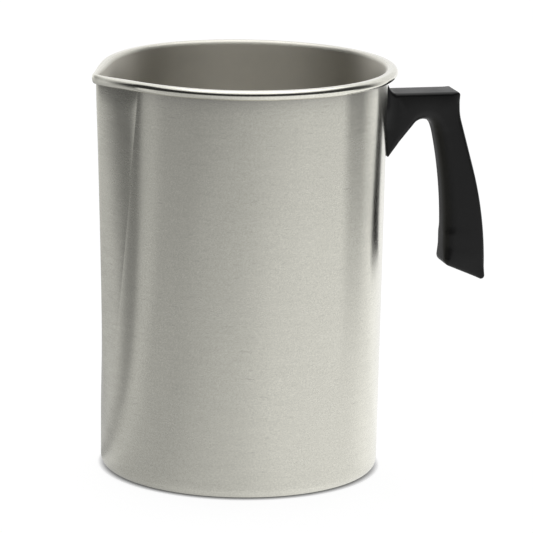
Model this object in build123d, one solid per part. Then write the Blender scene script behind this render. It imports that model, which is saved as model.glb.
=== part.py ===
from build123d import *
import os
from math import cos, degrees, radians, sin, sqrt

# Pouring pot for melted wax, in millimetres. The origin is the middle of the underside of the base.
# +Z is up, the handle points along +X and the spout along -X.

# Pot
pot_height = 190.0
base_radius = 64.7
rim_radius = 66.3
wall = 1.2
floor_thickness = 1.6
base_corner_radius = 4.0

# Rolled rim
curl_width = 5.6
curl_height = 4.4
curl_sheet = 1.0
curl_leg = 3.0
curl_gap = 0.8

# Spout, a fold in the wall that widens from its foot to the rim
spout_foot_height = 24.0
spout_pull_in = 2.1
spout_tip_width = 4.4
lip_dip = 1.9
spout_crease_angle = 28.5
spout_shoulder_share = 2.7
spout_foot_share = 0.06
spout_section_shares = (0.3, 0.65, 1.0)
spout_reach_power = 1.25
spout_middle_share = 0.5

# Handle, measured outward from its seat on the wall and down from its flat top
handle_width = 17.6
handle_drop = 15.65
arm_length = 35.6
arm_end_height = 9.8
arm_end_lean = 0.4
arm_corner_radius = 1.6
bend_length = 43.1
bend_drop = 35.0
bend_radius = 25.0
grip_length = 49.8
grip_drop = 89.4
grip_corner_radius = 2.2
grip_inner_length = 30.0
grip_inner_drop = 81.0
grip_upright_drop = 66.0
finger_length = 21.3
finger_drop = 4.8
finger_radius = 6.4
gusset_tip_length = 1.4
gusset_tip_drop = 28.9
gusset_tip_radius = 0.8
seat_drop = 12.0
seat_clearance = 0.2
handle_edge_radius = 1.8

# Flare of the handle where it meets the wall
flare_width = 27.0
flare_rise = 6.2
flare_length = 5.0
flare_sink = 2.5
flare_waist_share = 0.36
flare_spread_share = 0.2

# Bracket, a bent strip that carries the handle
bracket_thickness = 2.0
plate_width = 16.0
plate_height = 9.7
plate_corner_radius = 2.5
tongue_width = 11.0
tongue_length = 10.6
tongue_drop = 10.2
tongue_corner_radius = 2.5
pocket_clearance = 0.25

# Rivets that hold the bracket to the wall
rivet_diameter = 3.6
rivet_pitch = 9.2
rivet_rise = 5.6
rivet_head_diameter = 6.6
rivet_head_height = 1.3
rivet_tail_diameter = 5.4
rivet_tail_height = 1.5
rivet_rim_share = 0.3
rivet_clearance = 0.05

# Screw and spring washer that hold the handle to the bracket's tongue
screw_diameter = 4.0
screw_length = 7.5
screw_offset = 6.2
screw_land = 3.2
screw_head_diameter = 7.2
screw_head_height = 2.6
screw_head_rounding = 0.9
screw_recess_depth = 1.5
screw_recess_length = 4.2
screw_recess_width = 1.0
screw_clearance = 0.25
thread_clearance = 0.05
washer_diameter = 7.0
washer_thickness = 0.9
washer_gap = 0.8
counterbore_diameter = 8.2

# How far cuts run past what they cut
overrun = 5.0

# Heights and places worked out from the sizes above
curl_centre_height = pot_height - curl_height / 2
handle_top = pot_height - handle_drop
tongue_bottom = handle_top - tongue_drop
tongue_top = tongue_bottom + bracket_thickness
plate_top = tongue_bottom + plate_height
land_height = tongue_bottom - screw_land
screw_seat_height = land_height - washer_thickness


def wall_radius(height):
    """Outer radius of the round wall, which widens a little towards the rim."""
    return base_radius + (rim_radius - base_radius) * height / curl_centre_height


seat_radius = wall_radius(tongue_bottom)
screw_x = seat_radius + screw_offset


def turned(outline):
    """Solid of an outline in the XZ plane, turned round the pot's axis."""
    return revolve(Plane.XZ * outline, Axis.Z)


def cone(offset):
    """Solid of the round wall's outer surface moved outward, longer than the pot."""
    low = (wall_radius(-overrun) + offset, -overrun)
    high = (wall_radius(pot_height + overrun) + offset, pot_height + overrun)
    return turned(Polygon((0, low[1]), low, high, (0, high[1]), align=None))


def block(x_low, x_high, y_width, z_low, z_high):
    """Box between two X and two Z values, centred on the handle's plane."""
    centre = Pos((x_low + x_high) / 2, 0, (z_low + z_high) / 2)
    return centre * Box(x_high - x_low, y_width, z_high - z_low)


def upright(x, diameter, z_low, z_high):
    """Upright cylinder in the handle's plane."""
    return Pos(x, 0, (z_low + z_high) / 2) * Cylinder(diameter / 2, z_high - z_low)


def level(diameter, x_low, x_high):
    """Cylinder along X."""
    return Pos((x_low + x_high) / 2, 0, 0) * Rot(0, 90, 0) * Cylinder(diameter / 2, x_high - x_low)


def at_rivets(shape):
    """Copies of a shape that lies along X, turned to the two rivets' places on the round wall."""
    half_angle = degrees(rivet_pitch / 2 / seat_radius)
    height = tongue_bottom + rivet_rise
    return [Pos(0, 0, height) * Rot(0, 0, side * half_angle) * shape for side in (1, -1)]


def rivet_holes():
    """Cuts for the two rivets' shanks, through the wall and the bracket's plate."""
    diameter = rivet_diameter + 2 * rivet_clearance
    return at_rivets(level(diameter, seat_radius - overrun, seat_radius + overrun))


def spout_tip_reach(radius, share):
    """Reach of the point where the spout's two flanks would meet.

    At the rim each flank runs straight on from the arc of its shoulder.
    """
    rim = wall_radius(curl_centre_height)
    crease = radians(spout_crease_angle)
    crease_radius = rim - spout_pull_in
    spread = crease * (spout_shoulder_share - 1)
    shift = (rim**2 - crease_radius**2) / (2 * (rim - crease_radius * cos(spread)))
    crease_x = crease_radius * cos(crease)
    crease_y = crease_radius * sin(crease)
    normal_x = crease_x - shift * cos(crease * spout_shoulder_share)
    normal_y = crease_y - shift * sin(crease * spout_shoulder_share)
    rim_reach = crease_x + crease_y * normal_y / normal_x
    return radius + (rim_reach - rim) * share**spout_reach_power


def spout_outline(share, offset, dip=0.0):
    """Edges of the wall's outline at a share of the spout's height, moved outward by an offset.

    They run from the handle's side round to the spout's tip, and back on the other side.
    """
    height = spout_foot_height + (curl_centre_height - spout_foot_height) * share
    radius = wall_radius(height) + offset
    crease = radians(spout_crease_angle) * sqrt(max(share, spout_foot_share))
    shoulder = crease * spout_shoulder_share
    crease_radius = radius - spout_pull_in * share
    reach = spout_tip_reach(radius, share)
    half_tip = spout_tip_width / 2
    crease_x = crease_radius * cos(crease)
    crease_y = crease_radius * sin(crease)
    tip_x = reach - (reach - crease_x) * half_tip / crease_y

    def on_wall(angle, side):
        return Vector(-radius * cos(angle), side * radius * sin(angle), height)

    halves = []
    for side in (1, -1):
        shoulder_point = on_wall(shoulder, side)
        crease_point = Vector(-crease_x, side * crease_y, height)
        way = Vector(sin(shoulder), side * cos(shoulder), 0) * -1
        behind = on_wall(radians(180), side)
        beside = on_wall((radians(180) + shoulder) / 2, side)
        back = ThreePointArc(behind, beside, shoulder_point)
        if share > 0:
            tip_point = Vector(-tip_x, side * half_tip, height - dip)
            flank = Line(crease_point, tip_point)
        else:
            tip_point = on_wall(half_tip / radius, side)
            between = on_wall((crease + half_tip / radius) / 2, side)
            flank = ThreePointArc(crease_point, between, tip_point)
        halves.append([back, TangentArc(shoulder_point, crease_point, tangent=way), flank])
    start = halves[0][-1]
    nose = TangentArc(start @ 1, halves[1][-1] @ 1, tangent=start % 1)
    return [*halves[0], nose, *halves[1]]


def spout_solid(offset):
    """Solid inside the spouted part of the wall's surface, moved outward by an offset."""
    shares = (0.0, *spout_section_shares)
    return loft([Face(Wire(spout_outline(share, offset))) for share in shares])


def base_solid(offset, bottom, corner_radius):
    """Solid inside the round lower part of the wall's surface, from a bottom up to the spout's foot."""
    low = (wall_radius(bottom) + offset, bottom)
    high = (wall_radius(spout_foot_height) + offset, spout_foot_height)
    outline = Polygon((0, bottom), low, high, (0, spout_foot_height), align=None)
    corner = outline.vertices().sort_by(Axis.Y)[:2].sort_by(Axis.X)[-1]
    return turned(fillet(corner, corner_radius))


def curl_section():
    """Section of the rolled rim: a leg in the wall, then the sheet rolled over, out and back under."""
    half = curl_sheet / 2
    bend = (curl_height - curl_sheet) / 2
    outside = bend + half
    inside = bend - half
    far = curl_width - curl_sheet - bend
    end = wall / 2 + curl_gap
    line = Polyline((half, 0), (half, -curl_leg), (-half, -curl_leg), (-half, 0))
    line += JernArc((-half, 0), (0, 1), outside, -90)
    line += Line((bend, outside), (far, outside))
    line += JernArc((far, outside), (1, 0), outside, -180)
    line += Polyline((far, -outside), (end, -outside), (end, -inside), (far, -inside))
    line += JernArc((far, -inside), (1, 0), inside, 180)
    line += Line((far, inside), (bend, inside))
    line += JernArc((bend, inside), (-1, 0), inside, 90)
    return make_face(line)


def rolled_rim():
    """The rolled rim, level round the back and dipping along the spout's flanks, made as two halves."""
    edges = spout_outline(1.0, -wall / 2, lip_dip)
    path = Wire([*edges[:3], edges[3].trim(0.0, spout_middle_share)])
    plane = Plane(path @ 0, x_dir=(1, 0, 0), z_dir=(0, -1, 0))
    guide = path.moved(Location((0, 0, curl_width)))
    half = sweep(plane * curl_section(), path=path, binormal=guide)
    half = split(half, Plane.XZ, keep=Keep.BOTTOM)
    return half + mirror(half, Plane.XZ)


def pot_body():
    """Drawn pot: base, wall with its folded spout, and the rolled rim."""
    outside = base_solid(0, 0, base_corner_radius) + spout_solid(0)
    inside = base_solid(-wall, floor_thickness, base_corner_radius - wall) + spout_solid(-wall)
    shell = outside - inside
    lip = spout_outline(1.0, 0.0, lip_dip)
    crease = lip[2] @ 0
    tip = lip[2] @ 1
    slope = (tip.Z - crease.Z) / (tip.X - crease.X)
    far_x = tip.X - curl_width
    far = (far_x, crease.Z + slope * (far_x - crease.X))
    dip = Polygon((crease.X, crease.Z), far, (far_x, pot_height), (crease.X, pot_height), align=None)
    shell -= extrude(Plane.XZ * dip, rim_radius, both=True)
    shell += rolled_rim()
    for hole in rivet_holes():
        shell -= hole
    return shell


def handle_bracket():
    """Bent strip: a plate that lies on the wall and a tongue that reaches into the handle."""
    plate = block(seat_radius - overrun, seat_radius + overrun, plate_width, tongue_bottom, plate_top)
    upper_edges = plate.edges().filter_by(Axis.X).group_by(Axis.Z)[-1]
    plate = fillet(upper_edges, plate_corner_radius)
    plate = plate & cone(bracket_thickness)
    tongue_end = seat_radius + tongue_length
    tongue = block(seat_radius - overrun, tongue_end, tongue_width, tongue_bottom, tongue_top)
    far_edges = tongue.edges().filter_by(Axis.Z).group_by(Axis.X)[-1]
    tongue = fillet(far_edges, tongue_corner_radius)
    bracket = plate + tongue - cone(0)
    thread = screw_diameter + 2 * thread_clearance
    bracket -= upright(screw_x, thread, tongue_bottom - overrun, tongue_top + overrun)
    for hole in rivet_holes():
        bracket -= hole
    return bracket


def dome(diameter, height):
    """Low round head of a rivet on the XY plane."""
    arc = TangentArc((0, height), (diameter / 2, 0), tangent=(1, 0))
    edge = Polyline((diameter / 2, 0), (0, 0), (0, height))
    return revolve(Plane.XZ * make_face(arc + edge), Axis.Z)


def rivet_dome_height(height):
    """Height of a head's round top above its straight rim."""
    return height * (1 - rivet_rim_share)


def bracket_rivets():
    """Two solid rivets with a low head inside the pot and a formed tail on the bracket."""
    rivet_radius = wall_radius(tongue_bottom + rivet_rise)
    inside = rivet_radius - wall
    outside = rivet_radius + bracket_thickness
    head_x = inside - rivet_head_height * rivet_rim_share
    head_dome = dome(rivet_head_diameter, rivet_dome_height(rivet_head_height))
    head = Pos(head_x, 0, 0) * Rot(0, -90, 0) * head_dome
    head += level(rivet_head_diameter, head_x, inside + overrun)
    tail_x = outside + rivet_tail_height * rivet_rim_share
    tail_dome = dome(rivet_tail_diameter, rivet_dome_height(rivet_tail_height))
    tail = Pos(tail_x, 0, 0) * Rot(0, 90, 0) * tail_dome
    tail += level(rivet_tail_diameter, outside - overrun, tail_x)
    shank = level(rivet_diameter, head_x, tail_x)
    heads = [part & cone(-wall - rivet_clearance) for part in at_rivets(head)]
    tails = [part - cone(bracket_thickness) for part in at_rivets(tail)]
    return [shaft + parts[0] + parts[1] for shaft, *parts in zip(at_rivets(shank), heads, tails)]


def handle_outline():
    """Side outline of the handle: arm, grip, finger gap and gusset."""

    def place(length, drop):
        return (seat_radius + length, handle_top - drop)

    inner_top = place(-overrun, 0)
    arm_corner = place(arm_length, 0)
    arm_foot = place(arm_length + arm_end_lean, arm_end_height)
    bend = place(bend_length, bend_drop)
    grip_corner = place(grip_length, grip_drop)
    grip_heel = place(grip_inner_length, grip_inner_drop)
    grip_upright = place(grip_inner_length, grip_upright_drop)
    finger = place(finger_length, finger_drop)
    gusset_tip = place(gusset_tip_length, gusset_tip_drop)
    seat = place(0, seat_drop)
    inner_foot = place(-overrun, seat_drop)
    slant = Vector(*bend) - Vector(*arm_foot)
    line = Polyline(inner_top, arm_corner, arm_foot, bend)
    line += TangentArc(bend, grip_corner, tangent=slant)
    line += Polyline(grip_corner, grip_heel, grip_upright)
    line += TangentArc(grip_upright, finger, tangent=(0, 1))
    line += Polyline(finger, gusset_tip, seat, inner_foot, inner_top)
    outline = make_face(line)
    rounded = (
        (arm_corner, arm_corner_radius),
        (arm_foot, bend_radius),
        (grip_corner, grip_corner_radius),
        (grip_heel, grip_corner_radius),
        (finger, finger_radius),
        (gusset_tip, gusset_tip_radius),
    )
    for point, radius in rounded:
        outline = fillet(outline.vertices().sort_by_distance(point)[0], radius)
    return outline


def handle_flare():
    """Flared root of the handle, from the arm's section out to its seat on the wall."""
    foot = handle_top - seat_drop
    spread = flare_width - handle_width
    sections = []
    waist = (flare_length * flare_waist_share, flare_spread_share)
    for x, share in ((flare_length, 0), waist, (-flare_sink, 1)):
        height = handle_top + flare_rise * share - foot
        plane = Plane((seat_radius + x, 0, foot + height / 2), x_dir=(0, 1, 0), z_dir=(1, 0, 0))
        width = handle_width + spread * share
        sections.append(plane * RectangleRounded(width, height, handle_edge_radius))
    return loft(sections)


def handle():
    """Moulded handle with a pocket for the bracket and a bore from below for the screw."""
    body = extrude(Plane.XZ * handle_outline(), handle_width / 2, both=True)
    sides = body.faces().sort_by(Axis.Y)
    edges = sides[0].edges() + sides[-1].edges()
    outer = [edge for edge in edges if edge.center().X > seat_radius + finger_length / 2]
    body = fillet(outer, handle_edge_radius)
    body += handle_flare()
    body -= cone(seat_clearance)
    gap = 2 * pocket_clearance
    back = seat_radius - overrun
    body -= block(
        back,
        wall_radius(plate_top) + bracket_thickness + pocket_clearance,
        plate_width + gap,
        tongue_bottom - pocket_clearance,
        plate_top + pocket_clearance,
    )
    body -= block(
        back,
        seat_radius + tongue_length + pocket_clearance,
        tongue_width + gap,
        tongue_bottom - pocket_clearance,
        tongue_top + pocket_clearance,
    )
    tail_depth = wall_radius(plate_top) + bracket_thickness + rivet_tail_height + pocket_clearance
    for hole in at_rivets(level(rivet_tail_diameter + gap, back, tail_depth)):
        body -= hole
    screw_tip = screw_seat_height + screw_length
    screw_hole = screw_diameter + 2 * screw_clearance
    body -= upright(screw_x, screw_hole, land_height - overrun, screw_tip + screw_clearance)
    body -= upright(screw_x, counterbore_diameter, handle_top - grip_drop, land_height)
    return body


def handle_screw():
    """Pan head screw, head down, with a cross recess."""
    head_foot = screw_seat_height - screw_head_height
    head = upright(screw_x, screw_head_diameter, head_foot, screw_seat_height)
    head = fillet(head.edges().sort_by(Axis.Z)[0], screw_head_rounding)
    recess_top = head_foot + screw_recess_depth
    long, narrow = screw_recess_length, screw_recess_width
    for length, width in ((long, narrow), (narrow, long)):
        head -= block(screw_x - length / 2, screw_x + length / 2, width, head_foot - overrun, recess_top)
    return head + upright(screw_x, screw_diameter, screw_seat_height, screw_seat_height + screw_length)


def spring_washer():
    """Split ring under the screw's head."""
    ring = upright(screw_x, washer_diameter, screw_seat_height, land_height)
    bore = screw_diameter + 2 * screw_clearance
    ring -= upright(screw_x, bore, screw_seat_height - overrun, land_height + overrun)
    ring -= block(screw_x, screw_x + washer_diameter, washer_gap, screw_seat_height, land_height)
    return ring


def main():
    os.makedirs("parts", exist_ok=True)
    pieces = {
        "pot_body": pot_body(),
        "handle_bracket": handle_bracket(),
        "bracket_rivets": Compound(children=bracket_rivets()),
        "handle": handle(),
        "handle_screw": handle_screw(),
        "spring_washer": spring_washer(),
    }
    for name, piece in pieces.items():
        export_step(piece, f"parts/{name}.step")


main()
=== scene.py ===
from math import atan2, cos, hypot, pi, radians, sin, sqrt, tan

import bmesh
import bpy
import numpy as np
from mathutils import Matrix, Vector
from mathutils.geometry import delaunay_2d_cdt


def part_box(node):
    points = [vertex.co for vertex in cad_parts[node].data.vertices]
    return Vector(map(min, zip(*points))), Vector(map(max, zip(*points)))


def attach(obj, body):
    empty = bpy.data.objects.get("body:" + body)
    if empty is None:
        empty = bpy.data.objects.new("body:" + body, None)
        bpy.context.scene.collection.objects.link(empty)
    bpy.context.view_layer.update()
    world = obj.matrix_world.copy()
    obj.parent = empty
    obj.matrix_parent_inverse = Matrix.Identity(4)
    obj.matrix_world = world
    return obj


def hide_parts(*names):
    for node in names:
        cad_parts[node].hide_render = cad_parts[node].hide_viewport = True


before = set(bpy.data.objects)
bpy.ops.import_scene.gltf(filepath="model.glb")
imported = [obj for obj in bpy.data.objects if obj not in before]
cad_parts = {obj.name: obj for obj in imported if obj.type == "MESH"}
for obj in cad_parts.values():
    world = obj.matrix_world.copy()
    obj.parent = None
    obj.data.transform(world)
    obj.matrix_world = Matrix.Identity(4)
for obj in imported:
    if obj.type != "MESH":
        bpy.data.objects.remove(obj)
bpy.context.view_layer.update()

# Wax melting pot, in metres, in the CAD frame: the base stands on z = 0, the handle points along +X
# and the spout along -X.
MM = 0.001

pot_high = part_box("pot_body")[1]
pot_height = pot_high.z
rim_reach = pot_high.y

# Sheet of the pot
wall = 1.2 * MM
floor_thickness = 1.6 * MM
base_corner = 4.0 * MM
curl_height = 4.4 * MM
curl_sheet = 1.0 * MM
curl_overhang = 4.5 * MM
curl_gap = 0.8 * MM
rim_height = pot_height - curl_height / 2
roll_foot = pot_height - curl_height
rim_radius = rim_reach - curl_overhang
wall_taper = 1.6 * MM
base_radius = rim_radius - wall_taper
curl_start_drop = 1.6 * MM
curl_start = rim_height - curl_start_drop
curl_slack = 0.1 * MM
rim_shade_depth = 3.0 * MM

# Spout
crease_angle = radians(28.5)
shoulder_share = 2.7
uv_shoulder_angle = radians(77)
least_crease_share = 0.06
tip_power = 1.25
foot_blend = 14.0
bulge_fade = 12.0 * MM
outline_step = 0.002
dip_end = 2.0 * MM


def wall_radius(height):
    """Outer radius of the round wall at a height."""
    return base_radius + (rim_radius - base_radius) * height / rim_height


# Handle: lengths run out from its seat on the wall, drops and rises from the top of the CAD's arm
handle_drop = 15.65 * MM
handle_top = pot_height - handle_drop
seat_drop = 10.2 * MM
seat_radius = wall_radius(handle_top - seat_drop)
handle_width = 17.6 * MM
root_rise = 5.6 * MM
arm_length = 35.6 * MM
arm_rise = 1.2 * MM
arm_foot_length = 36.0 * MM
arm_foot_drop = 9.8 * MM
bend_length = 43.1 * MM
bend_drop = 35.0 * MM
grip_length = 49.75 * MM
grip_drop = 89.4 * MM
grip_inner_length = 30.0 * MM
grip_heel_drop = 81.0 * MM
grip_upright_drop = 66.0 * MM
finger_length = 21.3 * MM
finger_drop = 4.8 * MM
gusset_tip_length = 1.4 * MM
gusset_tip_drop = 28.9 * MM
seat_middle_drop = 12.0 * MM
flare_lip = 0.7 * MM
flare_length = 6.0 * MM
flare_rise = 4.3 * MM
flare_power = 2.6
flare_widening = 0.28
flare_low_drop = 16.0 * MM
flare_blend = 10.0 * MM
flare_slice = 0.45 * MM
flare_first_slice = 0.3 * MM
face_crown = 0.25 * MM
seat_clearance = 0.1 * MM
outline_spacing = 0.8 * MM
bore_radius = 4.1 * MM
bore_depth = 40.0 * MM

# Rivets
rivet_outreach = 2.0 * MM
rivet_half_spacing = 4.6 * MM


class Field:
    """A value in a node tree. Each sum done with it adds a math node."""

    def __init__(self, tree, socket):
        self.tree = tree
        self.socket = socket

    def math(self, operation, *others):
        node = self.tree.nodes.new("ShaderNodeMath")
        node.operation = operation
        for slot, value in zip(node.inputs, (self, *others)):
            feed(self.tree, slot, value)
        return Field(self.tree, node.outputs[0])

    def __add__(self, other):
        return self.math("ADD", other)

    def __sub__(self, other):
        return self.math("SUBTRACT", other)

    def __mul__(self, other):
        return self.math("MULTIPLY", other)

    def __truediv__(self, other):
        return self.math("DIVIDE", other)

    def __pow__(self, other):
        return self.math("POWER", other)

    def __neg__(self):
        return self.math("MULTIPLY", -1.0)

    def minus_from(self, value):
        return (-self) + value

    def within(self):
        """The value held between 0 and 1."""
        return self.math("MAXIMUM", 0.0).math("MINIMUM", 1.0)

    def eased(self):
        """A smooth step from 0 to 1 over the same span."""
        share = self.within()
        return share * share * (share * -2.0 + 3.0)

    def toward(self, other, share):
        """This value at share 0 and the other at share 1."""
        return self + (other - self) * share


def feed(tree, slot, value):
    """Links a field or a socket to a node's input, or sets the input to a plain value."""
    if isinstance(value, Field):
        value = value.socket
    if isinstance(value, bpy.types.NodeSocket):
        tree.links.new(value, slot)
    else:
        slot.default_value = value


def add_node(tree, kind, settings=None, **inputs):
    """A node with its settings, and its inputs given by name with _ for a space."""
    node = tree.nodes.new(kind)
    for name, value in (settings or {}).items():
        setattr(node, name, value)
    for name, value in inputs.items():
        feed(tree, node.inputs[name.replace("_", " ")], value)
    return node


def new_group(name, kind, takes, gives):
    """A node group with named inputs (name, socket kind, default) and outputs (name, socket kind)."""
    tree = bpy.data.node_groups.new(name, kind)
    for label, socket, default in takes:
        made = tree.interface.new_socket(label, in_out="INPUT", socket_type=socket)
        if default is not None:
            made.default_value = default
    for label, socket in gives:
        tree.interface.new_socket(label, in_out="OUTPUT", socket_type=socket)
    entry = tree.nodes.new("NodeGroupInput")
    leave = tree.nodes.new("NodeGroupOutput")
    return tree, entry.outputs, leave.inputs


def set_inputs(modifier, values):
    """Sets a node modifier's inputs by their names."""
    for item in modifier.node_group.interface.items_tree:
        if item.item_type == "SOCKET" and item.in_out == "INPUT" and item.name in values:
            modifier[item.identifier] = values[item.name]


def bake(piece, tree, values):
    """Runs a node tree on a piece and keeps the result as its plain mesh."""
    modifier = piece.modifiers.new(tree.name, "NODES")
    modifier.node_group = tree
    set_inputs(modifier, values)
    graph = bpy.context.evaluated_depsgraph_get()
    made = bpy.data.meshes.new_from_object(piece.evaluated_get(graph))
    piece.modifiers.clear()
    piece.data = made
    made.name = piece.name


def new_piece(name, mesh):
    piece = bpy.data.objects.new(name, mesh)
    bpy.context.scene.collection.objects.link(piece)
    return piece


# Shared effects of the materials


def streaks_group():
    """Fine lines left by brushing or turning, from object coordinates stretched along the lines."""
    takes = (("Along", "NodeSocketFloat", 40.0), ("Across", "NodeSocketFloat", 3000.0),
             ("Point", "NodeSocketVector", None))
    gives = (("Lines", "NodeSocketFloat"), ("Broad", "NodeSocketFloat"))
    tree, takes, gives = new_group("brush lines", "ShaderNodeTree", takes, gives)
    point = add_node(tree, "ShaderNodeSeparateXYZ", Vector=takes["Point"])
    x, y, z = (Field(tree, point.outputs[axis]) for axis in "XYZ")
    along = Field(tree, takes["Along"])
    across = Field(tree, takes["Across"])
    fine = add_node(tree, "ShaderNodeCombineXYZ", X=x * along, Y=y * along, Z=z * across)
    longer = 0.6
    wider = 0.12
    broad = add_node(tree, "ShaderNodeCombineXYZ", X=x * along * longer, Y=y * along * longer,
                     Z=z * across * wider)
    lines = add_node(tree, "ShaderNodeTexNoise", Vector=fine.outputs[0], Scale=1.0, Detail=3.0,
                     Roughness=0.6)
    bands = add_node(tree, "ShaderNodeTexNoise", Vector=broad.outputs[0], Scale=1.0, Detail=4.0,
                     Roughness=0.55)
    feed(tree, gives["Lines"], lines.outputs[0])
    feed(tree, gives["Broad"], bands.outputs[0])
    return tree


def scratches_group():
    """Sparse short scratches that lie mostly along the brushing."""
    takes = (("Point", "NodeSocketVector", None), ("Length", "NodeSocketFloat", 60.0),
             ("Width", "NodeSocketFloat", 1500.0), ("Amount", "NodeSocketFloat", 0.3))
    tree, takes, gives = new_group("scratches", "ShaderNodeTree", takes, (("Mask", "NodeSocketFloat"),))
    bent = add_node(tree, "ShaderNodeTexNoise", Vector=takes["Point"], Scale=25.0, Detail=1.0)
    point = add_node(tree, "ShaderNodeSeparateXYZ", Vector=takes["Point"])
    x, y, z = (Field(tree, point.outputs[axis]) for axis in "XYZ")
    length = Field(tree, takes["Length"])
    waver = 4.0 * MM
    lifted = z + Field(tree, bent.outputs[0]) * waver
    place = add_node(tree, "ShaderNodeCombineXYZ", X=x * length, Y=y * length,
                     Z=lifted * Field(tree, takes["Width"]))
    noise = add_node(tree, "ShaderNodeTexNoise", Vector=place.outputs[0], Scale=1.0, Detail=2.0,
                     Roughness=0.5)
    threshold = 0.68
    sharpness = 14.0
    peak = (Field(tree, noise.outputs[0]) - threshold) * sharpness
    amount = Field(tree, takes["Amount"])
    feed(tree, gives["Mask"], peak.within() * amount)
    return tree


def handling_group():
    """Soft cloudy marks of handling and uneven finishing."""
    takes = (("Point", "NodeSocketVector", None), ("Size", "NodeSocketFloat", 30.0))
    gives = (("Cloud", "NodeSocketFloat"),)
    tree, takes, gives = new_group("handling marks", "ShaderNodeTree", takes, gives)
    size = Field(tree, takes["Size"])
    wide = add_node(tree, "ShaderNodeTexNoise", Vector=takes["Point"], Scale=size, Detail=5.0,
                    Roughness=0.6)
    patch = (Field(tree, wide.outputs[0]) - 0.35) * 3.0
    feed(tree, gives["Cloud"], patch.eased())
    return tree


def grain_group():
    """Fine pebbled grain of a moulding or a sheet, with a few pits."""
    takes = (("Point", "NodeSocketVector", None), ("Scale", "NodeSocketFloat", 1800.0))
    gives = (("Grain", "NodeSocketFloat"), ("Pits", "NodeSocketFloat"))
    tree, takes, gives = new_group("moulded grain", "ShaderNodeTree", takes, gives)
    scale = Field(tree, takes["Scale"])
    skin = add_node(tree, "ShaderNodeTexNoise", Vector=takes["Point"], Scale=scale, Detail=2.0,
                    Roughness=0.55)
    cells = add_node(tree, "ShaderNodeTexVoronoi", Vector=takes["Point"], Scale=scale * 0.25)
    pits = (Field(tree, cells.outputs["Distance"]) * -4.0 + 0.6).within()
    feed(tree, gives["Grain"], skin.outputs[0])
    feed(tree, gives["Pits"], pits)
    return tree


brush_lines = streaks_group()
scratches = scratches_group()
handling_marks = handling_group()
moulded_grain = grain_group()


def new_material(name):
    """A material with its Principled shader and the object coordinates."""
    material = bpy.data.materials.new(name)
    material.use_nodes = True
    tree = material.node_tree
    shader = tree.nodes["Principled BSDF"]
    point = tree.nodes.new("ShaderNodeTexCoord").outputs["Object"]
    return material, tree, shader, point


def use_group(tree, group, **inputs):
    node = tree.nodes.new("ShaderNodeGroup")
    node.node_tree = group
    for name, value in inputs.items():
        feed(tree, node.inputs[name], value)
    return node.outputs


def blend_colours(tree, share, first, second):
    """First colour at share 0, second at share 1."""
    node = tree.nodes.new("ShaderNodeMix")
    node.data_type = "RGBA"
    feed(tree, node.inputs["Factor"], share)
    feed(tree, node.inputs["A"], first)
    feed(tree, node.inputs["B"], second)
    return node.outputs["Result"]


def attribute(tree, name):
    return Field(tree, add_node(tree, "ShaderNodeAttribute", {"attribute_name": name}).outputs["Fac"])


def bump(tree, height, strength, distance):
    return add_node(tree, "ShaderNodeBump", Height=height, Strength=strength, Distance=distance).outputs[0]


def brushed_aluminium():
    """The pot's sheet: brushed round outside, smoother on the rolled rim, duller inside. Its colour holds a
    painted shade just under the rim, and the inside's paler colour partly stands in for light.
    """
    material, tree, shader, point = new_material("brushed_aluminium")
    brushed = use_group(tree, brush_lines, Point=point, Along=110.0, Across=2200.0)
    lines = Field(tree, brushed["Lines"])
    broad = Field(tree, brushed["Broad"])
    scratched = use_group(tree, scratches, Point=point, Length=150.0, Width=1500.0, Amount=0.5)
    marks = Field(tree, scratched["Mask"])
    cloud = Field(tree, use_group(tree, handling_marks, Point=point, Size=22.0)["Cloud"])
    grain = Field(tree, use_group(tree, moulded_grain, Point=point, Scale=1500.0)["Grain"])
    polish = attribute(tree, "polish")
    inside = attribute(tree, "inside")
    clean = polish.minus_from(1.0)
    tint = (lines * 0.5 + broad * 0.4 + cloud * 0.2 + grain * 1.1 - 0.58).within()
    outer = blend_colours(tree, tint, (0.60, 0.592, 0.53, 1), (0.88, 0.868, 0.78, 1))
    height = Field(tree, add_node(tree, "ShaderNodeSeparateXYZ", Vector=point).outputs["Z"])
    # Painted shade: the colour darkens just under the rolled rim, where the roll shades the wall.
    corner = (height.minus_from(roll_foot) / -rim_shade_depth).math("EXPONENT").within() * clean
    # Darker for the scratches, which are real wear, and for the painted shade under the rim.
    worn = blend_colours(tree, marks * clean * 0.5 + corner * 0.6, outer, (0.30, 0.295, 0.285, 1))
    # The inside is pale aluminium, made paler still as painted light that brightens the interior, which
    # gets little light.
    inner = blend_colours(tree, cloud * 0.5 + lines * 0.3, (0.82, 0.792, 0.715, 1), (0.95, 0.918, 0.825, 1))
    colour = blend_colours(tree, inside, worn, inner)
    feed(tree, shader.inputs["Base Color"], colour)
    rough = lines * 0.06 + broad * 0.04 + cloud * 0.04 + 0.18
    rough = rough.toward(lines * 0.03 + 0.09, polish)
    rough = rough.toward(lines * 0.08 + cloud * 0.06 + 0.50, inside)
    feed(tree, shader.inputs["Roughness"], rough)
    shader.inputs["Metallic"].default_value = 1.0
    shader.inputs["Anisotropic"].default_value = 0.97
    shader.inputs["Anisotropic Rotation"].default_value = 0.25
    tangent = add_node(tree, "ShaderNodeTangent", {"direction_type": "UV_MAP", "uv_map": "UVMap"})
    feed(tree, shader.inputs["Tangent"], tangent.outputs[0])
    relief = (lines * 0.6 + broad * 0.4 + grain * 0.3) * clean
    feed(tree, shader.inputs["Normal"], bump(tree, relief, 0.05, 0.12 * MM))
    return material


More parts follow.
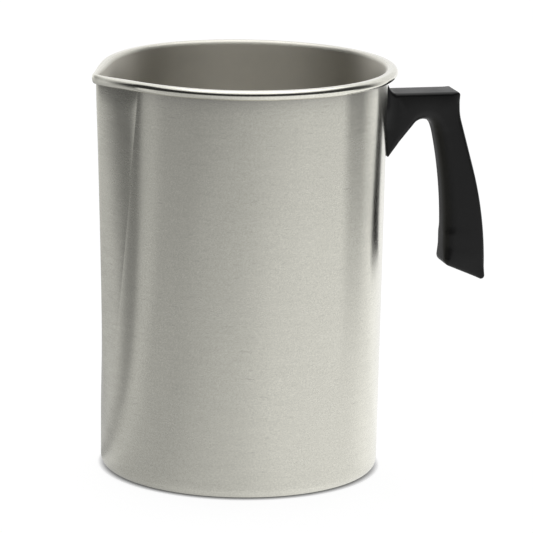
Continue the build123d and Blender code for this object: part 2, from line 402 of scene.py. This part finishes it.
def black_phenolic():
    """The handle: satin black moulding, rubbed a little paler along its edges."""
    material, tree, shader, point = new_material("black_phenolic")
    skin = use_group(tree, moulded_grain, Point=point, Scale=1500.0)
    grain = Field(tree, skin["Grain"])
    pits = Field(tree, skin["Pits"])
    cloud = Field(tree, use_group(tree, handling_marks, Point=point, Size=45.0)["Cloud"])
    edge = attribute(tree, "edge")
    rubbed = (edge * cloud * 0.8 + grain * 0.1).within()
    colour = blend_colours(tree, rubbed, (0.004, 0.004, 0.0042, 1), (0.013, 0.013, 0.0135, 1))
    feed(tree, shader.inputs["Base Color"], colour)
    rough = grain * 0.10 + cloud * 0.08 - edge * 0.05 + 0.36
    feed(tree, shader.inputs["Roughness"], rough)
    shader.inputs["IOR"].default_value = 1.38
    relief = grain * 0.7 - pits * 0.4 + cloud * 0.3
    feed(tree, shader.inputs["Normal"], bump(tree, relief, 0.18, 0.1 * MM))
    return material


def plated_steel(name, dark, pale, roughness):
    """Small steel fittings: zinc or spring steel with turning lines and a cloudy plating."""
    material, tree, shader, point = new_material(name)
    turned = use_group(tree, brush_lines, Point=point, Along=300.0, Across=5000.0)
    lines = Field(tree, turned["Lines"])
    cloud = Field(tree, use_group(tree, handling_marks, Point=point, Size=220.0)["Cloud"])
    scratched = use_group(tree, scratches, Point=point, Length=400.0, Width=4000.0, Amount=0.6)
    marks = Field(tree, scratched["Mask"])
    colour = blend_colours(tree, (cloud * 0.6 + lines * 0.4).within(), dark, pale)
    feed(tree, shader.inputs["Base Color"], blend_colours(tree, marks, colour, dark))
    feed(tree, shader.inputs["Roughness"], lines * 0.12 + cloud * 0.12 + roughness)
    shader.inputs["Metallic"].default_value = 1.0
    feed(tree, shader.inputs["Normal"], bump(tree, lines - marks, 0.15, 0.05 * MM))
    return material


# The pot: a flat developed sheet whose points hold (place round the pot, offset from the wall, height),
# folded to shape by a rule in geometry nodes. Round the pot, 0 is the spout's tip, 1 the crease beside
# it, 2 the end of the shoulder and 3 the middle of the back.


def arc(centre, radius, start, end, steps):
    """Points on an arc between two angles in degrees, from +offset towards +height."""
    angles = np.radians(np.linspace(start, end, steps + 1))
    return [(centre[0] + radius * cos(a), centre[1] + radius * sin(a)) for a in angles]


def sheet_section():
    """The sheet's section: under the base, up outside, round the rolled rim and down inside.

    Each point is (offset outward from the wall's outer face, height, polish, inside).
    """
    outer = curl_height / 2
    inner = outer - curl_sheet
    near = outer - wall + curl_slack
    far = curl_overhang - outer
    foot = base_corner - wall
    crown_share = 0.3
    edge_steps = 12
    under = [(-base_radius * share, 0.0) for share in np.linspace(1.0, 0.1, 10)]
    rows = [(*point, 0, 0) for point in under]
    rows += [(*point, 0, 0) for point in arc((-base_corner, base_corner), base_corner, -90, 0, 10)]
    heights = np.linspace(base_corner, curl_start, 80)[1:]
    rows += [(0.0, height, 0, 0) for height in heights]
    rolled = arc((near, rim_height), inner, 180, 90, 6)
    rolled += arc((far, rim_height), inner, 90, -90, 12)
    rolled += [(curl_gap, rim_height - inner), (curl_gap, rim_height - outer)]
    rolled += arc((far, rim_height), outer, -90, 90, 24)
    rolled += [(far * (1 - crown_share) + near * crown_share, pot_height)]
    rows += [(*point, 1, 0) for point in rolled]
    edge = arc((near, rim_height), outer, 90, 180, edge_steps)
    rows += [(*point, 1 - step / edge_steps, step / edge_steps) for step, point in enumerate(edge)]
    floor_corner = floor_thickness + foot
    heights = np.linspace(curl_start, floor_corner, 70)
    rows += [(-wall, height, 0, 1) for height in heights]
    rows += [(*point, 0, 1) for point in arc((-wall - foot, floor_corner), foot, 0, -90, 8)[1:]]
    floor_radius = wall_radius(floor_thickness)
    rows += [(-floor_radius * share, floor_thickness, 0, 1) for share in np.linspace(0.1, 1.0, 10)]
    return rows


def sheet_columns():
    """Places round the pot, closer together at the spout's tip and at its creases."""
    tip = [0, 0.03, 0.06, 0.1, 0.14, 0.19, 0.25, 0.32]
    flank = [0.4, 0.48, 0.56, 0.64, 0.72, 0.79, 0.85, 0.9, 0.94, 0.97, 0.985]
    shoulder = [1, 1.008, 1.016, 1.03, 1.05, 1.08, 1.12, 1.17, *np.linspace(1.22, 2.0, 26)]
    side = tip + flank + shoulder + list(np.linspace(2.0, 3.0, 82)[1:])
    return [-place for place in reversed(side[1:])] + side


def flat_sheet():
    """The developed sheet as a grid with its UV map and its finish."""
    rows = sheet_section()
    columns = sheet_columns()
    points = [(place, offset, height) for offset, height, *finish in rows for place in columns]
    wide = len(columns)
    faces = []
    for row in range(len(rows) - 1):
        for column in range(wide - 1):
            first = row * wide + column
            faces.append((first, first + wide, first + wide + 1, first + 1))
    mesh = bpy.data.meshes.new("pot")
    mesh.from_pydata(points, [], faces)
    for name, index in (("polish", 2), ("inside", 3)):
        values = mesh.attributes.new(name, "FLOAT", "POINT")
        values.data.foreach_set("value", [row[index] for row in rows for place in columns])
    run = np.cumsum([0.0] + [hypot(b[0] - a[0], b[1] - a[1]) for a, b in zip(rows, rows[1:])])
    turns = (0, crease_angle, uv_shoulder_angle, pi)
    turn = np.interp(np.abs(columns), (0, 1, 2, 3), turns) * np.sign(columns)
    uv = mesh.uv_layers.new(name="UVMap")
    for loop in mesh.loops:
        row, column = divmod(loop.vertex_index, wide)
        uv.data[loop.index].uv = (turn[column] * rim_radius, run[row])
    for face in mesh.polygons:
        face.use_smooth = True
    return mesh


SPOUT_SIZES = (
    ("Base Radius", "NodeSocketFloat", base_radius),
    ("Rim Radius", "NodeSocketFloat", rim_radius),
    ("Rim Height", "NodeSocketFloat", rim_height),
    ("Spout Foot", "NodeSocketFloat", 24.0 * MM),
    ("Crease Angle", "NodeSocketFloat", crease_angle),
    ("Shoulder Share", "NodeSocketFloat", shoulder_share),
    ("Pull In", "NodeSocketFloat", 2.1 * MM),
    ("Reach", "NodeSocketFloat", 4.0 * MM),
    ("Tip Rounding", "NodeSocketFloat", 0.016),
    ("Flank Bulge", "NodeSocketFloat", 0.9 * MM),
    ("Groove Depth", "NodeSocketFloat", 0.12 * MM),
    ("Groove Width", "NodeSocketFloat", 0.03),
)


def outline_group():
    """The wall's outline at a height: the point at a place round the pot, on the outer face."""
    takes = (("Place", "NodeSocketFloat", 0.0), ("Height", "NodeSocketFloat", 0.0), *SPOUT_SIZES)
    gives = (("X", "NodeSocketFloat"), ("Y", "NodeSocketFloat"), ("Angle", "NodeSocketFloat"))
    tree, takes, gives = new_group("spouted outline", "GeometryNodeTree", takes, gives)
    names = ("Place", "Height", *(size[0] for size in SPOUT_SIZES))
    value = {name: Field(tree, takes[name]) for name in names}
    base, rim = value["Base Radius"], value["Rim Radius"]
    foot, top = value["Spout Foot"], value["Rim Height"]
    share = ((value["Height"] - foot) / (top - foot)).within()
    radius = base + (rim - base) * (value["Height"] / top)
    crease = value["Crease Angle"] * share.math("MAXIMUM", least_crease_share).math("SQRT")
    shoulder = crease * value["Shoulder Share"]
    place = value["Place"].math("ABSOLUTE")
    past_crease = (place - 1.0).within()
    past_shoulder = (place - 2.0).within()
    angle = crease * place.math("MINIMUM", 1.0) + (shoulder - crease) * past_crease
    angle = angle + shoulder.minus_from(pi) * past_shoulder
    pull = value["Pull In"] * share
    pulled = radius - pull
    tip = radius + value["Reach"] * (share ** tip_power)
    lean = (tip - pulled * crease.math("COSINE")).math("ARCTAN2", pulled * crease.math("SINE"))
    rounded = (angle * angle + value["Tip Rounding"] ** 2.0).math("SQRT")
    flank = tip * lean.math("COSINE") / (rounded - lean).math("COSINE")
    across = place.math("MINIMUM", 1.0)
    under_roll = ((top - value["Height"]) / bulge_fade).eased()
    flank = flank + value["Flank Bulge"] * share * under_roll * across * across.minus_from(1.0) * 4.0
    along = ((angle - crease) / (shoulder - crease)).within().minus_from(1.0)
    back = radius - pull * along.eased()
    reach = back.toward(flank, place.math("LESS_THAN", 1.0))
    reach = radius.toward(reach, (share * foot_blend).within())
    groove = ((angle - crease).math("ABSOLUTE") / value["Groove Width"]) * -1.0
    reach = reach - value["Groove Depth"] * share * groove.math("EXPONENT")
    side = value["Place"].math("SIGN")
    feed(tree, gives["X"], -(reach * angle.math("COSINE")))
    feed(tree, gives["Y"], reach * angle.math("SINE") * side)
    feed(tree, gives["Angle"], angle)
    return tree


def fold_tree():
    """Folds the flat sheet into the pot and closes its seams."""
    takes = (
        ("Geometry", "NodeSocketGeometry", None),
        ("Finish", "NodeSocketMaterial", None),
        ("Lip Dip", "NodeSocketFloat", 2.8 * MM),
        ("Dip Spread", "NodeSocketFloat", radians(24)),
        ("Dip Depth", "NodeSocketFloat", 40.0 * MM),
        ("Tip Curl Loss", "NodeSocketFloat", 0.6),
        ("Tip Curl Spread", "NodeSocketFloat", radians(12)),
        ("Weld", "NodeSocketFloat", 0.01 * MM),
        *SPOUT_SIZES,
    )
    gives = (("Geometry", "NodeSocketGeometry"),)
    tree, takes, gives = new_group("fold pot", "GeometryNodeTree", takes, gives)
    outline = outline_group()
    position = tree.nodes.new("GeometryNodeInputPosition").outputs[0]
    flat = add_node(tree, "ShaderNodeSeparateXYZ", Vector=position)
    place, offset, height = (Field(tree, flat.outputs[axis]) for axis in "XYZ")

    def on_outline(where):
        node = tree.nodes.new("GeometryNodeGroup")
        node.node_tree = outline
        feed(tree, node.inputs["Place"], where)
        feed(tree, node.inputs["Height"], height)
        for name, *rest in SPOUT_SIZES:
            feed(tree, node.inputs[name], takes[name])
        return [Field(tree, node.outputs[name]) for name in ("X", "Y", "Angle")]

    x, y, angle = on_outline(place)
    ahead_x, ahead_y, _ = on_outline(place + outline_step)
    behind_x, behind_y, _ = on_outline(place - outline_step)
    run_x = ahead_x - behind_x
    run_y = ahead_y - behind_y
    length = (run_x * run_x + run_y * run_y).math("SQRT")
    top = Field(tree, takes["Rim Height"])
    depth = Field(tree, takes["Dip Depth"])
    spread = angle / Field(tree, takes["Dip Spread"])
    dip = Field(tree, takes["Lip Dip"]) / (spread * spread + 1.0)
    drop = dip * ((height - (top - depth)) / (depth - dip_end)).eased()
    narrow = angle / Field(tree, takes["Tip Curl Spread"])
    loss = Field(tree, takes["Tip Curl Loss"]) / (narrow * narrow + 1.0)
    kept = (loss * offset.math("GREATER_THAN", 0.0)).minus_from(1.0)
    out = offset * kept
    made = add_node(tree, "ShaderNodeCombineXYZ", X=x - out * run_y / length, Y=y + out * run_x / length,
                    Z=height - drop)
    folded = add_node(tree, "GeometryNodeSetPosition", Geometry=takes["Geometry"], Position=made.outputs[0])
    welded = add_node(tree, "GeometryNodeMergeByDistance", Geometry=folded.outputs[0],
                      Distance=takes["Weld"])
    real = add_node(tree, "GeometryNodeRealizeInstances", Geometry=welded.outputs[0])
    done = add_node(tree, "GeometryNodeSetMaterial", Geometry=real.outputs[0], Material=takes["Finish"])
    feed(tree, gives["Geometry"], done.outputs[0])
    return tree


def make_pot(finish):
    pot = new_piece("pot", flat_sheet())
    bake(pot, fold_tree(), {"Finish": finish, **{name: size for name, kind, size in SPOUT_SIZES}})
    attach(pot, "root")
    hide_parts("pot_body")
    return pot


# The handle: a dense side outline with its edges rounded ring by ring, then flared at the wall


def line_points(start, end, step=outline_spacing):
    count = max(2, int(hypot(end[0] - start[0], end[1] - start[1]) / step))
    return [(start[0] + (end[0] - start[0]) * i / count, start[1] + (end[1] - start[1]) * i / count)
            for i in range(count + 1)]


def bend_points(start, end, way, steps=60):
    """Points on the arc that leaves a start along a way and reaches an end."""
    p, q = Vector(start), Vector(end)
    way = Vector(way).normalized()
    normal = Vector((-way.y, way.x))
    chord = q - p
    radius = chord.length_squared / (2 * chord.dot(normal))
    centre = p + normal * radius
    first = atan2(p.y - centre.y, p.x - centre.x)
    turn = atan2(q.y - centre.y, q.x - centre.x) - first
    if radius > 0 and turn < 0:
        turn += 2 * pi
    if radius < 0 and turn > 0:
        turn -= 2 * pi
    angles = [first + turn * i / steps for i in range(steps + 1)]
    return [(centre.x + abs(radius) * cos(a), centre.y + abs(radius) * sin(a)) for a in angles]


def trimmed(points, distance, from_start):
    """A run of points cut short at one end by a distance along it."""
    run = list(points) if from_start else list(reversed(points))
    while distance > 0 and len(run) > 2:
        gap = hypot(run[1][0] - run[0][0], run[1][1] - run[0][1])
        if gap > distance:
            share = distance / gap
            run[0] = tuple(a + (b - a) * share for a, b in zip(run[0], run[1]))
            break
        distance -= gap
        run.pop(0)
    return run if from_start else list(reversed(run))


def rounded_corner(leave, corner, enter, steps=16):
    """Points on the arc that touches both sides of a corner, without its last one."""
    first, last, apex = Vector(leave), Vector(enter), Vector(corner)
    middle = (first + last) / 2
    inward = (middle - apex).normalized()
    half = (first - apex).angle(inward)
    radius = (first - apex).length * tan(half)
    centre = apex + inward * (radius / sin(half))
    start = first - centre
    turn = start.angle_signed(last - centre)
    return [tuple(centre + Matrix.Rotation(-turn * i / steps, 2) @ start) for i in range(steps)]


def handle_outline():
    """The handle's side outline as (reach from the seat, height, edge rounding)."""

    def place(length, drop):
        return (length, handle_top - drop)

    root_top = place(0, -root_rise)
    arm_corner = place(arm_length, -arm_rise)
    arm_foot = place(arm_foot_length, arm_foot_drop)
    bend = place(bend_length, bend_drop)
    grip_corner = place(grip_length, grip_drop)
    grip_heel = place(grip_inner_length, grip_heel_drop)
    grip_upright = place(grip_inner_length, grip_upright_drop)
    finger = place(finger_length, finger_drop)
    gusset_tip = place(gusset_tip_length, gusset_tip_drop)
    seat = place(0, seat_middle_drop)
    flare = [root_top]
    for share in np.linspace(0, 1, 24):
        length = flare_lip + (flare_length - flare_lip) * share
        flare.append(place(length, -arm_rise - flare_rise * (1 - share) ** flare_power))
    slant = (bend[0] - arm_foot[0], bend[1] - arm_foot[1])
    # Each run has its points, then in millimetres the cut at its last corner, the rounding of its
    # edges and the rounding at that corner.
    runs = (
        (flare, 0.0, 2.0, 2.0),
        (line_points(flare[-1], arm_corner), 1.5, 1.8, 0.9),
        (line_points(arm_corner, arm_foot), 3.2, 2.3, 2.3),
        (line_points(arm_foot, bend), 0.0, 2.3, 2.3),
        (bend_points(bend, grip_corner, slant), 2.4, 2.3, 0.75),
        (line_points(grip_corner, grip_heel), 2.4, 1.8, 3.2),
        (line_points(grip_heel, grip_upright), 0.0, 5.5, 5.5),
        (bend_points(grip_upright, finger, (0, 1)), 12.0, 6.8, 6.0),
        (line_points(finger, gusset_tip), 0.6, 3.0, 0.15),
        (line_points(gusset_tip, seat), 0.0, 0.5, 0.15),
        (line_points(seat, root_top), 0.0, 0.15, 0.15),
    )
    outline = []
    for index, (points, cut, rounding, corner_rounding) in enumerate(runs):
        before = runs[index - 1][1] * MM
        corner = points[-1]
        run = trimmed(trimmed(points, before, True), cut * MM, False)
        outline += [(*point, rounding * MM) for point in run[:-1]]
        if cut:
            following = runs[(index + 1) % len(runs)]
            leave = run[-1]
            enter = trimmed(following[0], cut * MM, True)[0]
            for spot in rounded_corner(leave, corner, enter):
                outline.append((*spot, corner_rounding * MM))
    return outline


def eased_rounding(outline, slope=0.4):
    """Edge roundings that grow slowly away from the tight corners."""
    places = np.array([point[:2] for point in outline])
    own = np.array([point[2] for point in outline])
    gaps = np.hypot(*(places[:, None] - places[None]).transpose(2, 0, 1))
    return (own[None] + slope * gaps).min(1)


def seat_x(y, height):
    """Reach from the pot's axis of the wall's round face beside the handle."""
    return sqrt(wall_radius(height) ** 2 - y * y)


def handle_mesh():
    outline = handle_outline()
    count = len(outline)
    rounding = eased_rounding(outline)
    mesh = bmesh.new()
    edge = mesh.verts.layers.float.new("edge")
    half = handle_width / 2
    last_turn = 86
    steps = [(sin(t), 1 - cos(t)) for t in np.radians(np.linspace(0, last_turn, 11))]
    inward = []
    for i in range(count):
        ahead, behind = outline[(i + 1) % count], outline[i - 1]
        way = Vector((ahead[0] - behind[0], ahead[1] - behind[1])).normalized()
        inward.append(Vector((way.y, -way.x)))

    def ring(side, rise, inset, worn):
        loop = []
        for (x, z, _), radius, way in zip(outline, rounding, inward):
            x += seat_radius + way.x * radius * inset
            y = half - face_crown - radius + radius * rise
            vert = mesh.verts.new((x, side * y, z + way.y * radius * inset))
            vert[edge] = worn
            loop.append(vert)
        return loop

    rings = [ring(-1, rise, inset, inset > 0) for rise, inset in reversed(steps)]
    rings += [ring(1, rise, inset, inset > 0) for rise, inset in steps]
    for lower, upper in zip(rings, rings[1:]):
        for i in range(count):
            k = (i + 1) % count
            mesh.faces.new((lower[i], lower[k], upper[k], upper[i]))
    for loop in (rings[0], rings[-1]):
        flat = [Vector((vert.co.x, vert.co.z)) for vert in loop]
        border = [(i, (i + 1) % count) for i in range(count)]
        _, _, faces, origins, *_ = delaunay_2d_cdt(flat, border, [], 1, 1e-9)
        for face in faces:
            mesh.faces.new([loop[origins[i][0]] for i in face])
    for x in np.arange(flare_first_slice, flare_length, flare_slice):
        bmesh.ops.bisect_plane(mesh, geom=mesh.verts[:] + mesh.edges[:] + mesh.faces[:],
                               plane_co=(seat_radius + x, 0, 0), plane_no=(1, 0, 0))
    for vert in mesh.verts:
        reach = vert.co.x - seat_radius
        near = min(max(1 - reach / flare_length, 0.0), 1.0)
        high = min(max((vert.co.z - handle_top + flare_low_drop) / flare_blend, 0.0), 1.0)
        vert.co.y *= 1 + flare_widening * near**flare_power * high
        vert.co.x += (seat_x(vert.co.y, vert.co.z) + seat_clearance - seat_radius) * near
    bmesh.ops.recalc_face_normals(mesh, faces=mesh.faces[:])
    made = bpy.data.meshes.new("handle")
    mesh.to_mesh(made)
    mesh.free()
    return made


def counterbored(piece):
    """Cuts the bore for the screw's head up into the gusset."""
    low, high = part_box("handle_screw")
    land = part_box("spring_washer")[1].z
    tool = bmesh.new()
    centre = ((low.x + high.x) / 2, 0, land - bore_depth / 2)
    bmesh.ops.create_cone(tool, cap_ends=True, segments=48, radius1=bore_radius, radius2=bore_radius,
                          depth=bore_depth, matrix=Matrix.Translation(centre))
    made = bpy.data.meshes.new("counterbore")
    tool.to_mesh(made)
    tool.free()
    cutter = new_piece("counterbore", made)
    modifier = piece.modifiers.new("counterbore", "BOOLEAN")
    modifier.operation = "DIFFERENCE"
    modifier.object = cutter
    graph = bpy.context.evaluated_depsgraph_get()
    cut = bpy.data.meshes.new_from_object(piece.evaluated_get(graph))
    piece.modifiers.clear()
    piece.data = cut
    bpy.data.objects.remove(cutter)


def make_handle(finish):
    handle = new_piece("moulded_handle", handle_mesh())
    counterbored(handle)
    for face in handle.data.polygons:
        face.use_smooth = True
    handle.data.set_sharp_from_angle(angle=radians(40))
    handle.data.materials.clear()
    handle.data.materials.append(finish)
    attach(handle, "root")
    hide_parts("handle")
    return handle


# The rivets: one headed pin, repeated by geometry nodes


def rivet_tree():
    takes = (
        ("Geometry", "NodeSocketGeometry", None),
        ("Finish", "NodeSocketMaterial", None),
        ("Head Radius", "NodeSocketFloat", 3.3 * MM),
        ("Head Height", "NodeSocketFloat", 1.3 * MM),
        ("Tail Radius", "NodeSocketFloat", 2.7 * MM),
        ("Tail Height", "NodeSocketFloat", 1.5 * MM),
        ("Shank Radius", "NodeSocketFloat", 1.8 * MM),
        ("Inside", "NodeSocketFloat", 65.0 * MM),
        ("Outside", "NodeSocketFloat", 68.0 * MM),
        ("Half Angle", "NodeSocketFloat", 0.07),
        ("Height", "NodeSocketFloat", 170.0 * MM),
    )
    gives = (("Geometry", "NodeSocketGeometry"),)
    tree, takes, gives = new_group("rivet pair", "GeometryNodeTree", takes, gives)

    def moved(shape, place=None, turn=None, scale=None):
        node = add_node(tree, "GeometryNodeTransform", Geometry=shape)
        for name, value in (("Translation", place), ("Rotation", turn), ("Scale", scale)):
            if value is not None:
                feed(tree, node.inputs[name], value)
        return node.outputs[0]

    def vector(x, y, z):
        return add_node(tree, "ShaderNodeCombineXYZ", X=x, Y=y, Z=z).outputs[0]

    inside, outside = Field(tree, takes["Inside"]), Field(tree, takes["Outside"])
    parts = []
    ends = ((inside, "Head Radius", "Head Height"), (outside, "Tail Radius", "Tail Height"))
    for place, radius, rise in ends:
        ball = add_node(tree, "GeometryNodeMeshUVSphere", Segments=40, Rings=24, Radius=1.0).outputs[0]
        wide = Field(tree, takes[radius])
        parts.append(moved(ball, vector(place, 0.0, 0.0), None, vector(takes[rise], wide, wide)))
    pin = add_node(tree, "GeometryNodeMeshCylinder", Vertices=32, Radius=takes["Shank Radius"],
                   Depth=outside - inside).outputs[0]
    parts.append(moved(pin, vector((inside + outside) * 0.5, 0.0, 0.0), (0.0, pi / 2, 0.0)))
    joined = tree.nodes.new("GeometryNodeJoinGeometry")
    for part in reversed(parts):
        tree.links.new(part, joined.inputs[0])
    smooth = add_node(tree, "GeometryNodeSetShadeSmooth", Geometry=joined.outputs[0]).outputs[0]
    half = Field(tree, takes["Half Angle"])
    pair = tree.nodes.new("GeometryNodeJoinGeometry")
    for turn in (half, -half):
        here = moved(smooth, vector(0.0, 0.0, takes["Height"]), vector(0.0, 0.0, turn))
        copy = add_node(tree, "GeometryNodeGeometryToInstance", Geometry=here).outputs[0]
        tree.links.new(copy, pair.inputs[0])
    real = add_node(tree, "GeometryNodeRealizeInstances", Geometry=pair.outputs[0])
    done = add_node(tree, "GeometryNodeSetMaterial", Geometry=real.outputs[0], Material=takes["Finish"])
    feed(tree, gives["Geometry"], done.outputs[0])
    return tree


def make_rivets(finish):
    low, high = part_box("bracket_rivets")
    height = (low.z + high.z) / 2
    radius = wall_radius(height)
    rivets = new_piece("rivets", bpy.data.meshes.new("rivets"))
    bake(rivets, rivet_tree(), {
        "Finish": finish,
        "Inside": radius - wall,
        "Outside": radius + rivet_outreach,
        "Half Angle": rivet_half_spacing / seat_radius,
        "Height": height,
    })
    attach(rivets, "root")
    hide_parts("bracket_rivets")
    return rivets


def dress(node, finish):
    """Gives a CAD node that is shown as it is its material."""
    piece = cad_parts[node]
    piece.data.materials.clear()
    piece.data.materials.append(finish)


make_pot(brushed_aluminium())
make_handle(black_phenolic())
make_rivets(plated_steel("rivet_aluminium", (0.60, 0.60, 0.59, 1), (0.75, 0.75, 0.74, 1), 0.28))
dress("handle_bracket", plated_steel("zinc_bracket", (0.48, 0.49, 0.50, 1), (0.66, 0.66, 0.65, 1), 0.32))
dress("handle_screw", plated_steel("zinc_screw", (0.55, 0.55, 0.55, 1), (0.72, 0.72, 0.71, 1), 0.26))
dress("spring_washer", plated_steel("spring_steel", (0.40, 0.40, 0.41, 1), (0.58, 0.58, 0.58, 1), 0.34))

# Camera, at the photo's angle
view_turn = radians(13.5)
view_rise = radians(12.8)
view_roll = radians(0.9)
view_distance = 1.865
view_lens = 270.2
view_shift = (0.0471, -0.0032)
view_end = 20
sensor_width = 36
aim = Vector((0, 0, pot_height / 2))
toward_camera = Vector((-sin(view_turn), -cos(view_turn), 0))
to_the_right = Vector((cos(view_turn), -sin(view_turn), 0))


def make_camera():
    data = bpy.data.cameras.new("camera")
    data.sensor_width = sensor_width
    data.lens = view_lens
    data.shift_x, data.shift_y = view_shift
    data.clip_end = view_end
    back = toward_camera * cos(view_rise) + Vector((0, 0, 1)) * sin(view_rise)
    up = back.cross(to_the_right)
    turned = Matrix.Rotation(view_roll, 3, back)
    axes = Matrix((turned @ to_the_right, turned @ up, back)).transposed()
    camera = bpy.data.objects.new("camera", data)
    camera.matrix_world = Matrix.Translation(aim + back * view_distance) @ axes.to_4x4()
    bpy.context.scene.collection.objects.link(camera)
    bpy.context.scene.camera = camera


# Studio: white to the camera, and soft tones round the object for its reflections. Each row is an angle
# in degrees from the camera's side, to the right, with the tones of the floor near the object, of the
# floor farther out and of the walls behind it.
STUDIO_TONES = (
    (-180, 0.32, 0.50, 1.00),
    (-135, 0.32, 0.50, 1.00),
    (-116, 0.38, 0.48, 0.40),
    (-110, 0.34, 0.20, 0.03),
    (-104, 0.26, 0.00, 0.03),
    (-96, 0.26, 0.00, 0.03),
    (-90, 0.54, 0.56, 0.03),
    (-82, 0.54, 0.66, 0.03),
    (-70, 0.42, 0.48, 0.03),
    (-45, 0.43, 0.46, 0.03),
    (0, 0.67, 0.55, 0.03),
    (25, 0.87, 0.72, 0.03),
    (50, 0.90, 1.00, 0.04),
    (84, 0.90, 1.00, 0.05),
    (93, 0.92, 0.10, 0.05),
    (107, 0.92, 0.00, 0.10),
    (118, 0.92, 0.45, 0.60),
    (130, 1.00, 1.00, 0.90),
    (180, 0.80, 0.80, 1.00),
)

# Where those tones change: on the floor by the distance from the pot's axis, overhead by the rise
near_floor_end = 0.42
far_floor_blend = 0.36
floor_end = 1.25
floor_end_blend = 0.60
ceiling_rise = radians(38)
ceiling_blend = radians(16)
ceiling_tone = 1.1

# Floor and lamp
floor_half = 6.0
floor_gap = 0.1 * MM
floor_grey = 0.16
floor_glow = 0.9
contact_depth = 3.0 * MM
overhead_place = (0.1, 0.2, 1.3)
overhead_size = (1.2, 1.2)
overhead_power = 3.0


def tones_group():
    """The studio's tones in a direction: of the floor near and far and of the walls."""
    takes = (("X", "NodeSocketFloat", 0.0), ("Y", "NodeSocketFloat", 0.0))
    gives = (("Near", "NodeSocketFloat"), ("Far", "NodeSocketFloat"), ("Walls", "NodeSocketFloat"))
    tree, takes, gives = new_group("studio tones", "ShaderNodeTree", takes, gives)
    x, y = Field(tree, takes["X"]), Field(tree, takes["Y"])
    front = x * toward_camera.x + y * toward_camera.y
    side = x * to_the_right.x + y * to_the_right.y
    turn = side.math("ARCTAN2", front) / (2 * pi) + 0.5
    for name, column in (("Near", 1), ("Far", 2), ("Walls", 3)):
        ramp = add_node(tree, "ShaderNodeValToRGB", Fac=turn)
        ramp.color_ramp.interpolation = "LINEAR"
        stops = ramp.color_ramp.elements
        for index, entry in enumerate(STUDIO_TONES):
            place = entry[0] / 360 + 0.5
            stop = stops[index] if index < 2 else stops.new(place)
            stop.position = place
            stop.color = (entry[column], entry[column], entry[column], 1)
        feed(tree, gives[name], ramp.outputs[0])
    return tree


studio_tones = tones_group()


def make_world():
    world = bpy.data.worlds.new("studio")
    world.use_nodes = True
    tree = world.node_tree
    direction = tree.nodes.new("ShaderNodeTexCoord").outputs["Generated"]
    part = add_node(tree, "ShaderNodeSeparateXYZ", Vector=direction)
    x, y, z = (Field(tree, part.outputs[axis]) for axis in "XYZ")
    walls = Field(tree, use_group(tree, studio_tones, X=x, Y=y)["Walls"])
    above = ((z.math("ARCSINE") - ceiling_rise) / ceiling_blend).eased()
    tone = walls + walls.minus_from(ceiling_tone) * above
    light = tree.nodes.new("ShaderNodeLightPath")
    seen = Field(tree, light.outputs["Is Camera Ray"])
    strength = tone + tone.minus_from(1.0) * seen
    background = tree.nodes["Background"]
    background.inputs["Color"].default_value = (1, 1, 1, 1)
    feed(tree, background.inputs["Strength"], strength)
    bpy.context.scene.world = world


def make_floor():
    """A pale floor that keeps the object's shadow. Away from the object it is white to the camera."""
    mesh = bpy.data.meshes.new("floor")
    far = floor_half
    mesh.from_pydata([(-far, -far, 0), (far, -far, 0), (far, far, 0), (-far, far, 0)], [], [(0, 1, 2, 3)])
    floor = new_piece("floor", mesh)
    floor.location.z = -floor_gap
    material, tree, shader, point = new_material("pale_floor")
    part = add_node(tree, "ShaderNodeSeparateXYZ", Vector=point)
    x, y = Field(tree, part.outputs["X"]), Field(tree, part.outputs["Y"])
    tones = use_group(tree, studio_tones, X=x, Y=y)
    away = (x * x + y * y).math("SQRT")
    near_tone, far_tone, wall_tone = (Field(tree, tones[name]) for name in ("Near", "Far", "Walls"))
    tone = near_tone.toward(far_tone, ((away - near_floor_end) / far_floor_blend).eased())
    tone = tone.toward(wall_tone, ((away - floor_end) / floor_end_blend).eased())
    contact = add_node(tree, "ShaderNodeAmbientOcclusion", {"samples": 8}, Distance=contact_depth)
    open_air = Field(tree, contact.outputs["AO"])
    light = tree.nodes.new("ShaderNodeLightPath")
    seen = Field(tree, light.outputs["Is Camera Ray"])
    mirrored = Field(tree, light.outputs["Is Glossy Ray"])
    shader.inputs["Base Color"].default_value = (floor_grey, floor_grey, floor_grey, 1)
    shader.inputs["Roughness"].default_value = 0.9
    shader.inputs["Specular IOR Level"].default_value = 0.0
    shader.inputs["Emission Color"].default_value = (1, 1, 1, 1)
    feed(tree, shader.inputs["Emission Strength"], seen * open_air * floor_glow + mirrored * tone)
    mesh.materials.append(material)


def make_lamp(name, place, size, power):
    data = bpy.data.lights.new(name, "AREA")
    data.shape = "RECTANGLE"
    data.size, data.size_y = size
    data.energy = power
    lamp = bpy.data.objects.new(name, data)
    lamp.location = place
    lamp.rotation_euler = (aim - Vector(place)).to_track_quat("-Z", "Y").to_euler()
    lamp.visible_camera = False
    bpy.context.scene.collection.objects.link(lamp)


make_camera()
make_world()
make_floor()
make_lamp("overhead", overhead_place, overhead_size, overhead_power)

bpy.context.scene.view_settings.view_transform = "Standard"
